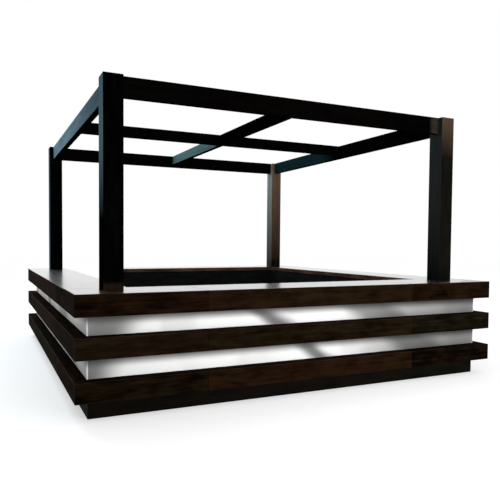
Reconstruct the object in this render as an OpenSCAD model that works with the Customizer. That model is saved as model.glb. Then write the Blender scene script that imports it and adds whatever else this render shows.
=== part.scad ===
/* [Counter] */
// Outside length of each side of the square counter
bar_side = 4880; // [4200:10:6000]
// Depth of the counter top, from its outer edge to the well
counter_depth = 600; // [580:5:700]
// Thickness of the counter slab
slab_thickness = 60; // [40:1:80]
// Overhang of the slab over the inner wall
well_overhang = 15; // [0:1:25]

/* [Courses] */
// Height of the recessed plinth
plinth_height = 175; // [120:1:200]
// Height of the lower band
lower_band_height = 180; // [120:1:220]
// Height of the lower steel panel
lower_panel_height = 190; // [120:1:220]
// Height of the middle band
middle_band_height = 190; // [120:1:220]
// Height of the upper steel panel
upper_panel_height = 178; // [120:1:220]
// Height of the counter edge, slab included
top_band_height = 197; // [140:1:220]

/* [Boards] */
// Set-back of the steel panels behind the bands
panel_setback = 122; // [90:1:140]
// Set-back of the plinth behind the bands
plinth_setback = 130; // [100:1:140]
// Thickness of the boards that make the bands and walls
board = 25; // [18:1:30]
// Thickness of the steel-faced panels
panel_thickness = 18; // [12:1:24]

/* [Walk-in gap] */
// Clear width of the gap in the back counter
gap_width = 620; // [550:10:900]

/* [Roof frame] */
// Height of the posts above the floor
post_height = 3080; // [2600:10:3400]
// Side of the square posts
post_side = 190; // [140:5:200]
// Distance from the counter's outer edge to the posts
post_inset = 305; // [270:5:330]
// Width of every beam
beam_width = 75; // [50:1:90]
// Depth of the four outer beams
beam_depth = 190; // [150:5:240]
// Depth of the two beams that cross in the middle
middle_beam_depth = 140; // [90:2:150]
// Depth of the housings that the outer beams sit in
post_housing = 40; // [20:1:50]
// Depth of the housings that the middle beams sit in
beam_housing = 25; // [10:1:30]

/* [Hidden] */
// Half the side, so that each side is drawn as the front one and then turned
half = bar_side / 2;
lower_band_z = plinth_height;
lower_panel_z = lower_band_z + lower_band_height;
middle_band_z = lower_panel_z + lower_panel_height;
upper_panel_z = middle_band_z + middle_band_height;
top_band_z = upper_panel_z + upper_panel_height;
counter_height = top_band_z + top_band_height;
slab_z = counter_height - slab_thickness;
// Each band is a box that ends in a rail standing right under the panel
band_depth = panel_setback + board;
plinth_board = band_depth - plinth_setback;
inner_wall_back = counter_depth - well_overhang;
inner_wall_face = inner_wall_back - board;
// The gap runs from the left counter's inner edge along the back
gap_start = half - counter_depth;
gap_end = gap_start - gap_width;
post_center = half - post_inset - post_side / 2;
beam_z = post_height - beam_depth;
middle_beam_z = post_height - middle_beam_depth;
beam_length = 2 * (post_center - post_side / 2 + post_housing);
middle_beam_length = 2 * (post_center - beam_width / 2 + beam_housing);
lap_depth = middle_beam_depth / 2;
espresso = "#2b1d16";
espresso_frame = "#1c1512";
satin_steel = "#c9cccd";
TURN = [["front", 0], ["right", 90], ["back", 180], ["left", 270], ["return", 180]];

// Angle that turns the front side into the named one
function turn(side) = TURN[search([side], TURN)[0]][1];

// The stretch of a side that is there, in the front side's own direction:
// the back stops at the gap and the return is what is left beyond it
function first_x(side) = side == "return" ? gap_start : -half;
function last_x(side) = side == "back" ? gap_end : half;

// Extrudes a section, drawn as [distance behind the outer face, height], along a side
module along(from_x, to_x)
    translate([0, -half, 0])
        rotate([90, 0, 90])
            translate([0, 0, from_x])
                linear_extrude(to_x - from_x)
                    children();

// Quarter of the plan that one side's courses are mitred to
module mitre_wedge()
    linear_extrude(post_height)
        polygon([[-half, -half], [half, -half], [0, 0]]);

// A course of one side, mitred at the corners of the square
module course(side)
    rotate(turn(side))
        intersection() {
            along(first_x(side), last_x(side))
                children();
            mitre_wedge();
        }

// A board that closes a section where it stops at the gap
module gap_cap(side) {
    cap_x = side == "back" ? last_x(side) - board : first_x(side);
    rotate(turn(side))
        along(cap_x, cap_x + board)
            children();
}

// Section of a hollow box from the outer face back to the rail
module box_section(z, height)
    difference() {
        translate([0, z])
            square([band_depth, height]);
        translate([board, z + board])
            square([band_depth - 2 * board, height - 2 * board]);
    }

// Recessed plinth board that carries the lower band's rail
module plinth(side)
    color(espresso)
        course(side)
            translate([plinth_setback, 0])
                square([plinth_board, plinth_height]);

// Projecting band: front board, ledge, soffit and rail
module band(side, z, height)
    color(espresso) {
        course(side)
            box_section(z, height);
        if (side == "back" || side == "return")
            gap_cap(side)
                translate([0, z])
                    square([band_depth, height]);
    }

// Steel-faced panel between two bands
module panel(side, z, height)
    color(satin_steel)
        course(side)
            translate([panel_setback, z])
                square([panel_thickness, height]);

// Square holes that the posts pass through
module post_holes()
    for (x = [-1, 1], y = [-1, 1])
        translate([x * post_center, y * post_center, slab_z + slab_thickness / 2])
            cube([post_side, post_side, 2 * slab_thickness], center = true);

// Slab with its deep edge round all four sides, before it is cut into lengths
module top_ring()
    for (angle = [0 : 90 : 270])
        rotate(angle)
            intersection() {
                along(-half, half)
                    union() {
                        box_section(top_band_z, top_band_height);
                        translate([0, slab_z])
                            square([counter_depth, slab_thickness]);
                    }
                mitre_wedge();
            }

// Length of counter top: the front and back run through to the corners,
// and the left and right ones butt against them
module counter_top(side) {
    butts = side == "left" || side == "right";
    top_start = butts ? -gap_start : first_x(side);
    top_end = butts ? gap_start : last_x(side);
    color(espresso)
        difference() {
            union() {
                intersection() {
                    top_ring();
                    rotate(turn(side))
                        translate([top_start, -half, 0])
                            cube([top_end - top_start, counter_depth, post_height]);
                }
                if (side == "back" || side == "return")
                    gap_cap(side)
                        translate([0, top_band_z])
                            square([band_depth, top_band_height]);
            }
            post_holes();
        }
}

// Wall on the bartender's side
module inner_wall(side)
    color(espresso)
        course(side)
            translate([inner_wall_face, 0])
                square([board, slab_z]);

// The left inner wall runs on past the corner and closes the left side of the gap
module left_inner_wall()
    color(espresso)
        rotate(turn("left"))
            along(-half + band_depth, gap_start + well_overhang)
                translate([inner_wall_face, 0])
                    square([board, slab_z]);

// Board that closes the back counter where it stops at the gap
module back_end_wall()
    color(espresso)
        rotate(turn("back"))
            along(gap_end - board, gap_end)
                translate([band_depth, 0])
                    square([inner_wall_face - band_depth, slab_z]);

// Corner post from the floor to the roof frame, housed for the two beams that meet on it
module post(x, y)
    color(espresso_frame)
        translate([x * post_center, y * post_center, 0])
            difference() {
                translate([-post_side / 2, -post_side / 2, 0])
                    cube([post_side, post_side, post_height]);
                translate([-x * (post_side - post_housing) / 2, 0, beam_z + beam_depth])
                    cube([post_housing, beam_width, 2 * beam_depth], center = true);
                translate([0, -y * (post_side - post_housing) / 2, beam_z + beam_depth])
                    cube([beam_width, post_housing, 2 * beam_depth], center = true);
            }

// Outer beam over one side, housed on its inner face for a middle beam
module beam(side)
    color(espresso_frame)
        rotate(turn(side))
            translate([0, -post_center, 0])
                difference() {
                    translate([-beam_length / 2, -beam_width / 2, beam_z])
                        cube([beam_length, beam_width, beam_depth]);
                    translate([0, (beam_width - beam_housing) / 2, post_height])
                        cube([beam_width, beam_housing, 2 * middle_beam_depth], center = true);
                }

// Bar of a middle beam, before the lap is cut
module middle_bar()
    translate([-middle_beam_length / 2, -beam_width / 2, middle_beam_z])
        cube([middle_beam_length, beam_width, middle_beam_depth]);

// Space of the lap where the two middle beams cross
module lap(z)
    translate([0, 0, z])
        cube([beam_width, beam_width, 2 * lap_depth], center = true);

// Middle beam parallel to the front, cut away on top where the other one crosses
module middle_beam()
    color(espresso_frame)
        difference() {
            middle_bar();
            lap(post_height);
        }

// Middle beam from front to back, cut away below
module cross_beam()
    color(espresso_frame)
        difference() {
            rotate(90)
                middle_bar();
            lap(middle_beam_z);
        }

plinth("front");  // front_plinth
band("front", lower_band_z, lower_band_height);  // front_lower_band
panel("front", lower_panel_z, lower_panel_height);  // front_lower_panel
band("front", middle_band_z, middle_band_height);  // front_middle_band
panel("front", upper_panel_z, upper_panel_height);  // front_upper_panel
counter_top("front");  // front_counter_top
inner_wall("front");  // front_inner_wall
plinth("right");  // right_plinth
band("right", lower_band_z, lower_band_height);  // right_lower_band
panel("right", lower_panel_z, lower_panel_height);  // right_lower_panel
band("right", middle_band_z, middle_band_height);  // right_middle_band
panel("right", upper_panel_z, upper_panel_height);  // right_upper_panel
counter_top("right");  // right_counter_top
inner_wall("right");  // right_inner_wall
plinth("back");  // back_plinth
band("back", lower_band_z, lower_band_height);  // back_lower_band
panel("back", lower_panel_z, lower_panel_height);  // back_lower_panel
band("back", middle_band_z, middle_band_height);  // back_middle_band
panel("back", upper_panel_z, upper_panel_height);  // back_upper_panel
counter_top("back");  // back_counter_top
inner_wall("back");  // back_inner_wall
back_end_wall();
plinth("left");  // left_plinth
band("left", lower_band_z, lower_band_height);  // left_lower_band
panel("left", lower_panel_z, lower_panel_height);  // left_lower_panel
band("left", middle_band_z, middle_band_height);  // left_middle_band
panel("left", upper_panel_z, upper_panel_height);  // left_upper_panel
counter_top("left");  // left_counter_top
left_inner_wall();
plinth("return");  // return_plinth
band("return", lower_band_z, lower_band_height);  // return_lower_band
panel("return", lower_panel_z, lower_panel_height);  // return_lower_panel
band("return", middle_band_z, middle_band_height);  // return_middle_band
panel("return", upper_panel_z, upper_panel_height);  // return_upper_panel
counter_top("return");  // return_counter_top
post(-1, -1);  // front_left_post
post(1, -1);  // front_right_post
post(-1, 1);  // back_left_post
post(1, 1);  // back_right_post
beam("front");  // front_beam
beam("back");  // back_beam
beam("left");  // left_beam
beam("right");  // right_beam
middle_beam();
cross_beam();
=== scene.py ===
"""Looks of the cabana bar: a banded counter ring in espresso-stained board with satin steel
panels, and the near-black timber frame that stands through it. Lengths are in metres and
angles in degrees."""
import math

import bmesh
import bpy
from mathutils import Matrix, Vector


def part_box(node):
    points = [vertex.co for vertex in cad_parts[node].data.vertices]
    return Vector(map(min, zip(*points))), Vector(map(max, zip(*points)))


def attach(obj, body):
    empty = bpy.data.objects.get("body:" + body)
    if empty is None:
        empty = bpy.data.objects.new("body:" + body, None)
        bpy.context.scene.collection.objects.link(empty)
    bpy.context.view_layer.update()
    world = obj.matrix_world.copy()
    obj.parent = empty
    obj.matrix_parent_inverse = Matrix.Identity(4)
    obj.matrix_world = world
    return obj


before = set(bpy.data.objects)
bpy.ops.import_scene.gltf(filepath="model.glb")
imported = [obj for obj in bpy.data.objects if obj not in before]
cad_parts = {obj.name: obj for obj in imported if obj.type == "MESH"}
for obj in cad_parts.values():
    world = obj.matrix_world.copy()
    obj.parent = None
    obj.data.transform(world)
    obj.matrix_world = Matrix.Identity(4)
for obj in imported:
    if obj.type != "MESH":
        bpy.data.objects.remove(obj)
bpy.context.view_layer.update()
scene = bpy.context.scene
scene.view_settings.view_transform = "Standard"

MM = 0.001
# Middle of a noise pattern, and the levels that it mostly keeps between
NOISE_MIDDLE = 0.5
NOISE_LOW = 0.3
NOISE_HIGH = 0.7

# ---------------------------------------------------------------- camera
CAMERA_PLACE = (-3.136, -6.941, 1.541)
# Turn to the right of straight ahead, tilt upwards and lean
CAMERA_YAW = 23.48
CAMERA_PITCH = -2.13
CAMERA_ROLL = 0.33
# Focal length in millimetres, and shift as a share of the picture's width
CAMERA_LENS = 38.18
CAMERA_SHIFT = (0.074, 0.027)


def make_camera():
    """Standing guest's view of the front left corner, a few steps back from it."""
    data = bpy.data.cameras.new("guest_view")
    data.lens = CAMERA_LENS
    data.shift_x, data.shift_y = CAMERA_SHIFT
    camera = bpy.data.objects.new("guest_view", data)
    turn = Matrix.Rotation(math.radians(-CAMERA_YAW), 4, "Z")
    tilt = Matrix.Rotation(math.radians(90 + CAMERA_PITCH), 4, "X")
    roll = Matrix.Rotation(math.radians(CAMERA_ROLL), 4, "Z")
    camera.matrix_world = Matrix.Translation(CAMERA_PLACE) @ turn @ tilt @ roll
    scene.collection.objects.link(camera)
    scene.camera = camera


make_camera()


# ---------------------------------------------------------------- small helpers
def paint(code):
    """Linear colour of an sRGB hex code."""
    parts = [int(code[i : i + 2], 16) / 255 for i in (1, 3, 5)]
    return [p / 12.92 if p <= 0.04045 else ((p + 0.055) / 1.055) ** 2.4 for p in parts] + [1.0]


def add(tree, kind, inputs=None, **settings):
    """Adds a node with its settings. An input takes a plain value or another node's output."""
    node = tree.nodes.new(kind)
    for name, value in settings.items():
        setattr(node, name, value)
    for socket, value in (inputs or {}).items():
        if isinstance(value, bpy.types.NodeSocket):
            tree.links.new(value, node.inputs[socket])
        else:
            node.inputs[socket].default_value = value
    return node


def new_material(name):
    """Empty node material and its tree."""
    material = bpy.data.materials.new(name)
    material.use_nodes = True
    material.node_tree.nodes.clear()
    return material, material.node_tree


def new_piece(name, verts, faces, material=None):
    """Mesh object from plain vertices and faces."""
    mesh = bpy.data.meshes.new(name)
    mesh.from_pydata(verts, [], faces)
    mesh.update()
    piece = bpy.data.objects.new(name, mesh)
    scene.collection.objects.link(piece)
    if material:
        mesh.materials.append(material)
    return piece


def turn_faces_outward(mesh):
    """Makes every face of a closed mesh look outward."""
    work = bmesh.new()
    work.from_mesh(mesh)
    bmesh.ops.recalc_face_normals(work, faces=work.faces)
    work.to_mesh(mesh)
    work.free()


# ---------------------------------------------------------------- wood
# Number of the axis that a piece's boards run along
RUNS = {"x": 0, "y": 1, "z": 2}
# Places of the joints between boards, along a side, from its middle. The boards' tones change
# there too, or 30 mm beside the joint on the back and left sides, which count theirs backwards
SEAMS = (-1.22, 1.25)
FIGURE_LENGTH = 700 * MM
FIGURE_WIDTH = 26 * MM
PORE_LENGTH = 90 * MM
# Real pores are far narrower than this, too fine to show
PORE_WIDTH = 5 * MM
# Size of the clouds that an uneven stain leaves
CLOUD_LENGTH = 260 * MM
CLOUD_WIDTH = 90 * MM
# What the pores, the clouds and each board's own tone add to the figure, and the sums at which
# the stain is darkest and palest
PORE_WEIGHT = 0.3
CLOUD_WEIGHT = 1.3
TONE_WEIGHT = 0.35
DARKEST = 1.2
PALEST = 1.85
# Sums of a board's own cast and its clouds at which the olive sets in and is full
OLIVE_FROM = 0.6
OLIVE_FULL = 1.3
# Sets the pieces' seeds well apart
SEED_SPREAD = 17.0
# How much duller the pores are than the finish, how much shinier the ground, and their relief
PORE_DULLNESS = 0.06
GROUND_SHINE = 0.04
WOOD_RELIEF = 0.4 * MM
# How strongly full painted light shows, before the grain varies it
PAINTED_LIGHT_SHARE = 0.85
# Clear table lacquer
COAT_ROUGHNESS = 0.22
COAT_IOR = 1.35
# Cool bloom that oiled timber shows at low angles
BLOOM = 0.45
BLOOM_ROUGHNESS = 0.3
BLOOM_COLOUR = "#5f96ab"


def grain_space(tree, run, length, width):
    """Object coordinates stretched so that one unit is a grain streak's length and width."""
    place = add(tree, "ShaderNodeTexCoord").outputs["Object"]
    scale = [1 / width] * 3
    scale[RUNS[run]] = 1 / length
    return add(tree, "ShaderNodeMapping", {"Vector": place, "Scale": scale}).outputs["Vector"]


def place_along(tree, run):
    """How far along a run of boards a point is."""
    place = add(tree, "ShaderNodeTexCoord").outputs["Object"]
    return add(tree, "ShaderNodeSeparateXYZ", {"Vector": place}).outputs[RUNS[run]]


def board_tone(tree, run):
    """Two levels from 0 to 1 that differ from board to board and from piece to piece."""
    along = place_along(tree, run)
    first, second = (
        add(tree, "ShaderNodeMath", {0: along, 1: seam}, operation="GREATER_THAN").outputs[0]
        for seam in SEAMS
    )
    count = add(tree, "ShaderNodeMath", {0: first, 1: second}, operation="ADD").outputs[0]
    piece = add(tree, "ShaderNodeObjectInfo").outputs["Random"]
    seed = add(tree, "ShaderNodeMath", {0: piece, 1: SEED_SPREAD, 2: count},
               operation="MULTIPLY_ADD")
    white = add(tree, "ShaderNodeTexWhiteNoise", {"W": seed.outputs[0]}, noise_dimensions="1D")
    hue = add(tree, "ShaderNodeSeparateColor", {"Color": white.outputs["Color"]})
    return white.outputs["Value"], hue.outputs["Green"]


def stained_wood(name, run, stain, roughness, specular, sheen=0.0, coat=0.0, painted_light=None):
    """Veneer or solid timber under a dark stain of three colours: the pores and late wood, the
    brown ground and an olive cast that some boards have. Long figure, short pores, clouds
    where the stain took unevenly, a tone for each board, and a surface that is a little duller
    in the pores. Sheen is a cool bloom at low angles. Painted light is a paler colour painted in
    for light and sheen on the timber, and the places along the run where it sets in and is full."""
    material, tree = new_material(name)
    figure = add(tree, "ShaderNodeTexNoise", {
        "Vector": grain_space(tree, run, FIGURE_LENGTH, FIGURE_WIDTH),
        "Scale": 1.0, "Detail": 5.0, "Roughness": 0.6, "Distortion": 0.35})
    pores = add(tree, "ShaderNodeTexNoise", {
        "Vector": grain_space(tree, run, PORE_LENGTH, PORE_WIDTH),
        "Scale": 1.0, "Detail": 2.0, "Roughness": 0.5})
    clouds = add(tree, "ShaderNodeTexNoise", {
        "Vector": grain_space(tree, run, CLOUD_LENGTH, CLOUD_WIDTH),
        "Scale": 1.0, "Detail": 3.0, "Roughness": 0.6})
    tone, cast = board_tone(tree, run)
    dark, ground, olive = (paint(code) for code in stain)
    grain = add(tree, "ShaderNodeMath", {
        0: pores.outputs["Fac"], 1: PORE_WEIGHT, 2: figure.outputs["Fac"]},
        operation="MULTIPLY_ADD")
    uneven = add(tree, "ShaderNodeMath", {
        0: clouds.outputs["Fac"], 1: CLOUD_WEIGHT, 2: grain.outputs[0]},
        operation="MULTIPLY_ADD")
    toned = add(tree, "ShaderNodeMath", {0: tone, 1: TONE_WEIGHT, 2: uneven.outputs[0]},
                operation="MULTIPLY_ADD")
    level = add(tree, "ShaderNodeMapRange", {
        "Value": toned.outputs[0], "From Min": DARKEST, "From Max": PALEST})
    patchy = add(tree, "ShaderNodeMath", {0: cast, 1: clouds.outputs["Fac"]}, operation="ADD")
    greened = add(tree, "ShaderNodeMapRange", {
        "Value": patchy.outputs[0], "From Min": OLIVE_FROM, "From Max": OLIVE_FULL})
    brown = add(tree, "ShaderNodeMix", {
        0: greened.outputs["Result"], 6: ground, 7: olive}, data_type="RGBA")
    colour = add(tree, "ShaderNodeMix", {
        0: level.outputs["Result"], 6: dark, 7: brown.outputs[2]}, data_type="RGBA")
    # Painted light and sheen: a paler colour mixed in along the run, streaked by the grain
    if painted_light:
        light_colour, start, full = painted_light
        light_share = add(tree, "ShaderNodeMapRange", {
            "Value": place_along(tree, run), "From Min": start, "From Max": full,
            "To Max": PAINTED_LIGHT_SHARE})
        streak = add(tree, "ShaderNodeMath", {0: grain.outputs[0], 1: light_share.outputs["Result"]},
                     operation="MULTIPLY", use_clamp=True)
        colour = add(tree, "ShaderNodeMix", {
            0: streak.outputs[0], 6: colour.outputs[2], 7: paint(light_colour)}, data_type="RGBA")
    rough = add(tree, "ShaderNodeMapRange", {
        "Value": pores.outputs["Fac"], "From Min": NOISE_LOW, "From Max": NOISE_HIGH,
        "To Min": roughness + PORE_DULLNESS, "To Max": roughness - GROUND_SHINE})
    bump = add(tree, "ShaderNodeBump", {
        "Height": grain.outputs[0], "Strength": 0.15, "Distance": WOOD_RELIEF})
    shader = add(tree, "ShaderNodeBsdfPrincipled", {
        "Base Color": colour.outputs[2], "Roughness": rough.outputs["Result"],
        "Specular IOR Level": specular, "Normal": bump.outputs["Normal"],
        "Sheen Weight": sheen, "Sheen Roughness": BLOOM_ROUGHNESS,
        "Sheen Tint": paint(BLOOM_COLOUR),
        "Coat Weight": coat, "Coat Roughness": COAT_ROUGHNESS, "Coat IOR": COAT_IOR})
    add(tree, "ShaderNodeOutputMaterial", {"Surface": shader.outputs["BSDF"]})
    return material


# Stains: the colour of the pores and late wood, that of the ground, and its olive cast
ESPRESSO = ("#060402", "#26160c", "#1f1a0f")
# Darker copy of the espresso: painted shade, on the plinth and the front right post
SHADED_ESPRESSO = ("#050403", "#120e09", "#0f1009")
# Paler espresso of the band edges: partly wear, partly a painted highlight
RUBBED_HIGHLIT_ESPRESSO = ("#1a100a", "#402b1f", "#382c1d")
# Paler, warmer brown of the well nosing: painted light
LIT_NOSING_ESPRESSO = ("#33211a", "#6f4c3e", "#5e4738")
BLUE_BLACK = ("#090a0a", "#191b1b", "#161c18")
BLACKENED = ("#010101", "#090605", "#080706")
# Paler brown of the back right post: painted light
LIT_BROWN_STAIN = ("#120c08", "#33231a", "#2e2418")
# Pale grey of the back right post's left flank: painted sheen
SHEEN_GREY_STAIN = ("#15130f", "#38342e", "#33322b")
WOODS = {}
for axis in RUNS:
    # Near-black stained timber with a thin satin oil: its flanks pick up a cool sheen
    WOODS["timber", axis] = stained_wood(
        f"near_black_frame_timber_{axis}", axis, BLACKENED, 0.4, 0.001, BLOOM)
# Everything but the posts runs level
for axis in ("x", "y"):
    # The same stain without the oil's sheen and gloss under the beams, a shaded copy that keeps
    # them matt black: painted shade
    WOODS["underside", axis] = stained_wood(
        f"shaded_beam_underside_{axis}", axis, BLACKENED, 0.55, 0.0)
    # Satin veneered board, stained espresso: very dark red brown, hardly any shine
    WOODS["band", axis] = stained_wood(
        f"espresso_band_board_{axis}", axis, ESPRESSO, 0.7, 0.002)
    # Polished table lacquer over the same veneer: mirrors what stands on it at a low angle
    WOODS["lacquer", axis] = stained_wood(
        f"polished_counter_lacquer_{axis}", axis, ESPRESSO, 0.4, 0.1, coat=1.0)
    # The same board with a paler stain along the band edges: partly rubbed thin by hands and
    # cloths, partly a painted highlight on the edges
    WOODS["rubbed", axis] = stained_wood(
        f"rubbed_highlit_board_edge_{axis}", axis, RUBBED_HIGHLIT_ESPRESSO, 0.6, 0.02)
    # Nosing of the counter towards the well, painted a paler, warmer brown: painted light that
    # falls on it over the front counter
    WOODS["nosing", axis] = stained_wood(
        f"lit_well_nosing_{axis}", axis, LIT_NOSING_ESPRESSO, 0.6, 0.02)
    # Matt stained board under the lowest band, in the darker shaded copy of the stain: painted
    # shade
    WOODS["plinth", axis] = stained_wood(
        f"matt_plinth_board_{axis}", axis, SHADED_ESPRESSO, 0.7, 0.02)
    # Matt blue-black lining boards round the well
    WOODS["wall", axis] = stained_wood(
        f"matt_well_lining_{axis}", axis, BLUE_BLACK, 0.7, 0.03)

# Painted light in a paler brown: towards the top of the front right post, on most of the back
# right post, at the end of the front beam by the post, and at the foot of the front left post
PAINTED_LIGHT_FINISHES = {
    "front_left_post": stained_wood("painted_light_post_foot", "z", BLACKENED, 0.4, 0.001, BLOOM,
                                    painted_light=("#30261e", 1.19, 1.155)),
    "front_right_post": stained_wood("painted_light_post_top", "z", SHADED_ESPRESSO, 0.4, 0.012,
                                     painted_light=("#6b5846", 2.6, 3.1)),
    "back_right_post": stained_wood("painted_light_post", "z", LIT_BROWN_STAIN, 0.4, 0.012,
                                    painted_light=("#9c7c66", 1.2, 3.4)),
    "front_beam": stained_wood("painted_light_beam_end", "x", BLACKENED, 0.4, 0.001,
                               painted_light=("#423b36", 1.8, 1.86)),
}
# Painted sheen: left flanks painted a cool grey, towards the top of the posts, all along the
# left beam, and on the back half of the cross beam and, faintly, of the right beam
PAINTED_SHEEN_FLANKS = {
    "front_left_post": stained_wood("painted_sheen_cool_flank", "z", BLACKENED, 0.55, 0.0,
                                    painted_light=("#70909b", 1.76, 2.5)),
    "front_right_post": stained_wood("painted_sheen_dark_flank", "z", BLACKENED, 0.4, 0.012, BLOOM,
                                     painted_light=("#2f3131", 0.9, 2.0)),
    "back_right_post": stained_wood("painted_sheen_pale_flank", "z", SHEEN_GREY_STAIN, 0.4, 0.012,
                                    painted_light=("#c4c9c8", 1.0, 3.3)),
    "left_beam": stained_wood("painted_sheen_outer_flank", "y", BLACKENED, 0.55, 0.0,
                              painted_light=("#9abdd1", -3.3, 0.5)),
    "cross_beam": stained_wood("half_painted_sheen_flank", "y", BLACKENED, 0.55, 0.0,
                               painted_light=("#7ca5a6", 0.05, 0.2)),
    "right_beam": stained_wood("painted_sheen_flank_end", "y", BLACKENED, 0.55, 0.0,
                               painted_light=("#1b383e", 0.05, 0.5)),
}

# ---------------------------------------------------------------- steel
# Real brush marks are far narrower than this, too fine to show
BRUSH_WIDTH = 4 * MM
BRUSH_LENGTH = 700 * MM
BRUSH_RELIEF = 0.1 * MM
# Faint clouds on the steel, how far they bend a painted dark reflection, and the polish inside
# them
HAZE_SIZE = 500 * MM
HAZE_BEND = 0.3
HAZY_POLISH = 0.88
# Shares of a panel's height below which its steel is fully polished and above which it is
# dullest, and the polish left at the top: painted shade under the overhang
UNSHADED_HEIGHT = 0.4
FULL_SHADE_HEIGHT = 0.95
TOP_SHADE_POLISH = 0.1
# Dark reflections painted on the steel, each a darker, duller slanting strip across both
# courses of a side: its slope, its place along the side at floor level, how far from there it
# stays dull and is gone, and the least polish inside it
DARK_REFLECTION_MARKS = (
    (1.4, 0.65, 0.02, 0.22, 0.2),
    (1.4, 1.96, 0.15, 0.48, 0.42),
    (-0.53, -2.54, 0.05, 0.4, 0.3),
    (-0.53, 2.1, 0.2, 0.9, 0.65),
)
# The steel at no polish and at full polish; the dull colour also paints shade and dark reflections
DULL_ROUGHNESS = 0.56
POLISHED_ROUGHNESS = 0.47
DULL_AND_SHADED_STEEL = "#4c4c4c"
# Turns the streaks of the reflections upright, across the level brush marks
STREAK_TURN = 0.25


def dark_reflection_polish(tree, place, haze):
    """Steel's polish from 0 to 1: lower inside each painted dark reflection, whose edges haze
    bends.
    """
    height = add(tree, "ShaderNodeSeparateXYZ", {"Vector": place}).outputs["Z"]
    normal = add(tree, "ShaderNodeNewGeometry").outputs["True Normal"]
    rightward = add(tree, "ShaderNodeVectorMath", {0: (0, 0, 1), 1: normal},
                    operation="CROSS_PRODUCT").outputs["Vector"]
    along = add(tree, "ShaderNodeVectorMath", {0: place, 1: rightward},
                operation="DOT_PRODUCT").outputs["Value"]
    bent = add(tree, "ShaderNodeMath", {0: haze, 1: HAZE_BEND, 2: along},
               operation="MULTIPLY_ADD").outputs[0]
    mean_bend = HAZE_BEND * NOISE_MIDDLE
    polish = 1.0
    for slope, middle, inner, outer, least in DARK_REFLECTION_MARKS:
        across = add(tree, "ShaderNodeMath", {0: height, 1: slope, 2: bent},
                     operation="MULTIPLY_ADD")
        apart = add(tree, "ShaderNodeMath", {0: across.outputs[0], 1: middle + mean_bend},
                    operation="SUBTRACT")
        away = add(tree, "ShaderNodeMath", {0: apart.outputs[0]}, operation="ABSOLUTE")
        mark = add(tree, "ShaderNodeMapRange", {
            "Value": away.outputs[0], "From Min": inner, "From Max": outer, "To Min": least},
            interpolation_type="SMOOTHSTEP")
        polish = add(tree, "ShaderNodeMath", {0: mark.outputs["Result"], 1: polish},
                     operation="MULTIPLY").outputs[0]
    return polish


def satin_steel(name, colour, with_dark_reflections):
    """Brushed stainless sheet: pale metal with a level grain, which draws every reflection out
    into a tall soft streak. Its top edge under the overhang is painted darker and duller, a
    painted shade. Steel with dark reflections also has them painted on as slanting strips."""
    material, tree = new_material(name)
    coordinates = add(tree, "ShaderNodeTexCoord").outputs
    place = coordinates["Object"]
    brushed = add(tree, "ShaderNodeMapping", {
        "Vector": place, "Scale": (1 / BRUSH_LENGTH, 1 / BRUSH_LENGTH, 1 / BRUSH_WIDTH)})
    grain = add(tree, "ShaderNodeTexNoise", {
        "Vector": brushed.outputs["Vector"], "Scale": 1.0, "Detail": 3.0})
    haze = add(tree, "ShaderNodeTexNoise", {
        "Vector": place, "Scale": 1 / HAZE_SIZE, "Detail": 1.0}).outputs["Fac"]
    clean = add(tree, "ShaderNodeMapRange", {
        "Value": haze, "From Min": NOISE_LOW, "From Max": NOISE_MIDDLE, "To Min": HAZY_POLISH},
        interpolation_type="SMOOTHSTEP")
    height = add(tree, "ShaderNodeSeparateXYZ", {"Vector": coordinates["Generated"]})
    top_shade = add(tree, "ShaderNodeMapRange", {
        "Value": height.outputs["Z"], "From Min": FULL_SHADE_HEIGHT, "From Max": UNSHADED_HEIGHT,
        "To Min": TOP_SHADE_POLISH}, interpolation_type="SMOOTHSTEP")
    even = add(tree, "ShaderNodeMath", {
        0: clean.outputs["Result"], 1: top_shade.outputs["Result"]}, operation="MULTIPLY")
    polish = add(tree, "ShaderNodeMath", {
        0: dark_reflection_polish(tree, place, haze) if with_dark_reflections else 1.0, 1: even.outputs[0]},
        operation="MULTIPLY")
    rough = add(tree, "ShaderNodeMapRange", {
        "Value": polish.outputs[0], "To Min": DULL_ROUGHNESS, "To Max": POLISHED_ROUGHNESS})
    shade = add(tree, "ShaderNodeMix", {
        0: polish.outputs[0], 6: paint(DULL_AND_SHADED_STEEL), 7: paint(colour)}, data_type="RGBA")
    bump = add(tree, "ShaderNodeBump", {
        "Height": grain.outputs["Fac"], "Strength": 0.08, "Distance": BRUSH_RELIEF})
    shader = add(tree, "ShaderNodeBsdfPrincipled", {
        "Base Color": shade.outputs[2], "Metallic": 1.0, "Anisotropic": 1.0,
        "Anisotropic Rotation": STREAK_TURN, "Roughness": rough.outputs["Result"],
        "Normal": bump.outputs["Normal"]})
    add(tree, "ShaderNodeOutputMaterial", {"Surface": shader.outputs["BSDF"]})
    return material


# Panels between the bands: satin, with painted dark reflections
STEEL = satin_steel("satin_stainless_sheet", "#e1e1df", with_dark_reflections=True)
# Folded corners in paler steel: a painted highlight, without the painted dark reflections
CORNER_STEEL = satin_steel("highlit_folded_corner", "#f0f0ef", with_dark_reflections=False)

# ---------------------------------------------------------------- finishes of the CAD nodes
# How closely a face has to look along an axis to count as facing that way
FACING = 0.9
# Place of the paler edge stain, partly wear and partly painted highlight, among a band's finishes
EDGE_STAIN_SLOT = 1


def run_of(name):
    """Axis that a node's boards run along."""
    if name.endswith("_post"):
        return "z"
    low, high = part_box(name)
    return "x" if high.x - low.x > high.y - low.y else "y"


def finish_of(name):
    """Main finish of a CAD node, from what the node is."""
    # Some posts and the front beam's end carry painted light
    if name in PAINTED_LIGHT_FINISHES:
        return PAINTED_LIGHT_FINISHES[name]
    if name.endswith("_panel"):
        return STEEL
    if name.endswith(("_post", "_beam")):
        return WOODS["timber", run_of(name)]
    kind = next((k for k in ("plinth", "wall") if name.endswith(k)), "band")
    return WOODS[kind, run_of(name)]


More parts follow.
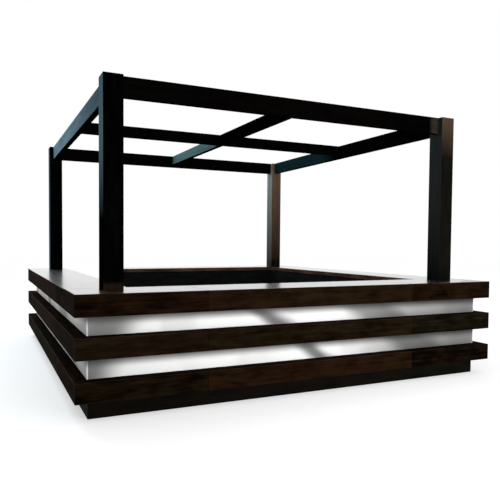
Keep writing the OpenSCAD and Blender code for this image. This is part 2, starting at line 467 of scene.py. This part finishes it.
def refinish(name, finish, chosen):
    """Gives another finish to the faces of a node that a test chooses."""
    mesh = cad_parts[name].data
    mesh.materials.append(finish)
    slot = len(mesh.materials) - 1
    for face in mesh.polygons:
        if chosen(face):
            face.material_index = slot


def refinish_counter_top(name):
    """Polished lacquer on the upward faces and painted light on the nosing towards the well. The
    outer edge stays satin."""
    run = run_of(name)
    across = RUNS["y" if run == "x" else "x"]
    low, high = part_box(name)
    middle = (low[across] + high[across]) / 2
    outward = 1 if middle > 0 else -1

    def towards_well(face):
        inner_half = (face.center[across] - middle) * outward < 0
        return inner_half and face.normal[across] * outward < -FACING

    refinish(name, WOODS["lacquer", run], lambda face: face.normal.z > FACING)
    refinish(name, WOODS["nosing", run], towards_well)


def give_finishes(name):
    """Every finish of a CAD node."""
    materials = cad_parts[name].data.materials
    materials.clear()
    materials.append(finish_of(name))
    if name.endswith("_band"):
        materials.append(WOODS["rubbed", run_of(name)])
    if name.endswith("_counter_top"):
        refinish_counter_top(name)
    # Left flanks take their painted sheen
    if name in PAINTED_SHEEN_FLANKS:
        refinish(name, PAINTED_SHEEN_FLANKS[name], lambda face: face.normal.x < -FACING)
    # Beam undersides take the shaded copy of the timber: painted shade
    if name.endswith("_beam"):
        refinish(name, WOODS["underside", run_of(name)], lambda face: face.normal.z < -FACING)


# ---------------------------------------------------------------- joints and eased edges
KERF_WIDTH = 5 * MM
KERF_DEPTH = 6 * MM
# How far the cutter of a joint stands out of the board, and how near the board's end it may be
KERF_OVERRUN = 20 * MM
# Axis that each side runs along, and which way its joints are counted
SIDES = {"front": ("x", 1), "right": ("y", 1), "back": ("x", -1), "left": ("y", -1)}
JOINTED = ("lower_band", "middle_band", "counter_top", "inner_wall")
# Width of the eased edge on each kind of piece
EASED = {"counter_top": 6 * MM, "band": 2.5 * MM, "post": 4 * MM, "beam": 3 * MM}
# The same on every other piece
PLAIN_EASE = 1 * MM
EASE_SEGMENTS = 2
# Least turn between two faces that counts as an edge to ease
EDGE_TURN = 40
WELD_DISTANCE = 0.05 * MM


def kerf_frame(low, high, axis, place):
    """Vertices and faces of a thin rectangular frame round a piece: it cuts a shallow slot."""
    first, second = [i for i in range(3) if i != axis]
    # Four rings of four: outer and inner on the near side, then the same on the far side
    verts = []
    for step in (-KERF_WIDTH / 2, KERF_WIDTH / 2):
        for grow in (KERF_OVERRUN, -KERF_DEPTH):
            for a, b in ((0, 0), (1, 0), (1, 1), (0, 1)):
                point = [0.0, 0.0, 0.0]
                point[axis] = place + step
                point[first] = (high[first] + grow) if a else (low[first] - grow)
                point[second] = (high[second] + grow) if b else (low[second] - grow)
                verts.append(point)
    faces = []
    for i in range(4):
        j = (i + 1) % 4
        faces += [(i, j, 8 + j, 8 + i), (4 + j, 4 + i, 12 + i, 12 + j),
                  (i, 4 + i, 4 + j, j), (8 + i, 8 + j, 12 + j, 12 + i)]
    return verts, faces


def cut_seams(name, side):
    """Shows where one board ends and the next starts as a shallow slot round the section."""
    run, way = SIDES[side]
    axis = RUNS[run]
    low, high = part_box(name)
    verts, faces = [], []
    for seam in SEAMS:
        place = seam * way
        if low[axis] + KERF_OVERRUN < place < high[axis] - KERF_OVERRUN:
            corners, quads = kerf_frame(low, high, axis, place)
            faces += [[len(verts) + i for i in quad] for quad in quads]
            verts += corners
    cutter = new_piece(f"{name}_kerfs", verts, faces)
    turn_faces_outward(cutter.data)
    cutter.hide_render = True
    cutter.hide_viewport = True
    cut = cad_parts[name].modifiers.new("board_joints", "BOOLEAN")
    cut.operation = "DIFFERENCE"
    cut.object = cutter
    cut.solver = "EXACT"


def ease_edges(name):
    """Rounds a CAD node's edges a little. A band's show a paler stain: wear and painted highlight.
    """
    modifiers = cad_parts[name].modifiers
    weld = modifiers.new("joined_faces", "WELD")
    weld.merge_threshold = WELD_DISTANCE
    ease = modifiers.new("eased_edges", "BEVEL")
    ease.width = next((w for kind, w in EASED.items() if name.endswith(kind)), PLAIN_EASE)
    ease.segments = EASE_SEGMENTS
    ease.limit_method = "ANGLE"
    ease.angle_limit = math.radians(EDGE_TURN)
    if name.endswith("_band"):
        ease.material = EDGE_STAIN_SLOT


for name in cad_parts:
    give_finishes(name)
    ease_edges(name)
    side, _, part = name.partition("_")
    if part in JOINTED and side in SIDES:
        cut_seams(name, side)


# ---------------------------------------------------------------- steel corner angles
ANGLE_LEG = 11 * MM
ANGLE_SHEET = 1 * MM
ANGLE_RADIUS = 3 * MM
ARC_STEPS = 6
# Which way along x and y each corner lies from the middle
CORNERS = {"front_left": (-1, -1), "front_right": (1, -1), "back_right": (1, 1),
           "back_left": (-1, 1)}


def fold_arc(radius):
    """Quarter circle of a folded corner, from the leg along +x round to the leg along +y."""
    centre = ANGLE_RADIUS - ANGLE_SHEET
    turns = [math.radians(270 - 90 * i / ARC_STEPS) for i in range(ARC_STEPS + 1)]
    return [(centre + radius * math.cos(t), centre + radius * math.sin(t)) for t in turns]


def angle_outline():
    """Plan of a folded steel angle, in the corner's own frame: its legs run along +x and +y."""
    outer = [(ANGLE_LEG, -ANGLE_SHEET)] + fold_arc(ANGLE_RADIUS) + [(-ANGLE_SHEET, ANGLE_LEG)]
    inner = [(ANGLE_LEG, 0.0)] + fold_arc(ANGLE_RADIUS - ANGLE_SHEET) + [(0.0, ANGLE_LEG)]
    return outer + inner[::-1]


def corner_angles(course):
    """Folded steel angle over each corner of a course of panels."""
    outline = angle_outline()
    n = len(outline)
    low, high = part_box(f"front_{course}")
    for corner, (sx, sy) in CORNERS.items():
        verts = []
        for z in (low.z, high.z):
            verts += [(sx * (high.x - x), sy * (-low.y - y), z) for x, y in outline]
        faces = [[i, (i + 1) % n, n + (i + 1) % n, n + i] for i in range(n)]
        faces += [list(range(n - 1, -1, -1)), list(range(n, 2 * n))]
        piece = new_piece(f"{corner}_{course}_angle", verts, faces, CORNER_STEEL)
        turn_faces_outward(piece.data)
        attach(piece, "root")


for course in ("lower_panel", "upper_panel"):
    corner_angles(course)


# ---------------------------------------------------------------- floor, light and background
FLOOR_HALF = 60.0
# How far out the lamps light the floor, its glow up to there and from three times as far out
LIT_RADIUS = 3.0
NEAR_GLOW = 0.48
FAR_GLOW = 0.55
# Strength of the surround as a fill light
FILL_LEVEL = 0.5
# Name, place, point that it faces, width and height, watts and colour of each soft box. The
# front one stands low and the window high, so that from a little above the tops don't mirror
# them. The one on the horizon gives the tops their pale gleam at a low angle
LAMPS = (
    ("front_softbox", (1.4, -7.2, 1.15), (-0.7, -2.4, 0.8), (5.5, 1.8), 195, "#ffffff"),
    ("overhead_softbox", (0.0, 0.0, 7.5), (0.0, 0.0, 0.0), (7.0, 7.0), 60, "#ffffff"),
    ("horizon_softbox", (6.5, 9.5, 2.3), (6.5, 0.0, 1.9), (18.0, 2.6), 70, "#ffffff"),
    ("cool_window", (-4.6, 8.0, 7.5), (-2.1, -1.0, 2.7), (4.4, 3.2), 400, "#cdebf6"),
)


def seen_directly(tree):
    """1 for the camera's rays and for those that metal, gloss or glass sends on."""
    path = add(tree, "ShaderNodeLightPath").outputs
    seen = add(tree, "ShaderNodeMath", {0: path["Is Camera Ray"], 1: path["Is Glossy Ray"]},
               operation="MAXIMUM")
    return add(tree, "ShaderNodeMath", {0: seen.outputs[0], 1: path["Is Transmission Ray"]},
               operation="MAXIMUM").outputs[0]


def make_floor():
    """Plain pale floor. Away from the object, where the lamps don't reach, it glows a little
    more where it is seen, so that it meets the background."""
    material, tree = new_material("pale_studio_floor")
    matt = add(tree, "ShaderNodeBsdfDiffuse", {"Color": paint("#f2f2f2")})
    place = add(tree, "ShaderNodeTexCoord").outputs["Object"]
    away = add(tree, "ShaderNodeVectorMath", {0: place}, operation="LENGTH")
    glowing = add(tree, "ShaderNodeMapRange", {
        "Value": away.outputs["Value"], "From Min": LIT_RADIUS, "From Max": 3 * LIT_RADIUS,
        "To Min": NEAR_GLOW, "To Max": FAR_GLOW})
    strength = add(tree, "ShaderNodeMath", {
        0: seen_directly(tree), 1: glowing.outputs["Result"]}, operation="MULTIPLY")
    glow = add(tree, "ShaderNodeEmission", {
        "Color": paint("#ffffff"), "Strength": strength.outputs[0]})
    both = add(tree, "ShaderNodeAddShader", {0: matt.outputs[0], 1: glow.outputs[0]})
    add(tree, "ShaderNodeOutputMaterial", {"Surface": both.outputs[0]})
    s = FLOOR_HALF
    floor = new_piece("studio_floor", [(-s, -s, 0), (s, -s, 0), (s, s, 0), (-s, s, 0)],
                      [(0, 1, 2, 3)], material)


def make_world():
    """White surround where it is seen, and a dimmer white fill."""
    world = bpy.data.worlds.new("white_surround")
    scene.world = world
    world.use_nodes = True
    tree = world.node_tree
    tree.nodes.clear()
    strength = add(tree, "ShaderNodeMapRange", {
        "Value": seen_directly(tree), "To Min": FILL_LEVEL, "To Max": 1.0})
    shade = add(tree, "ShaderNodeBackground", {
        "Color": paint("#ffffff"), "Strength": strength.outputs["Result"]})
    add(tree, "ShaderNodeOutputWorld", {"Surface": shade.outputs[0]})


def soft_lamp(name, place, target, size, watts, colour):
    """Rectangular soft box that faces a point."""
    data = bpy.data.lights.new(name, "AREA")
    data.shape = "RECTANGLE"
    data.size, data.size_y = size
    data.energy = watts
    data.color = paint(colour)[:3]
    lamp = bpy.data.objects.new(name, data)
    lamp.location = place
    lamp.rotation_euler = (Vector(target) - Vector(place)).to_track_quat("-Z", "Y").to_euler()
    lamp.visible_camera = False
    scene.collection.objects.link(lamp)


make_floor()
make_world()
for lamp in LAMPS:
    soft_lamp(*lamp)
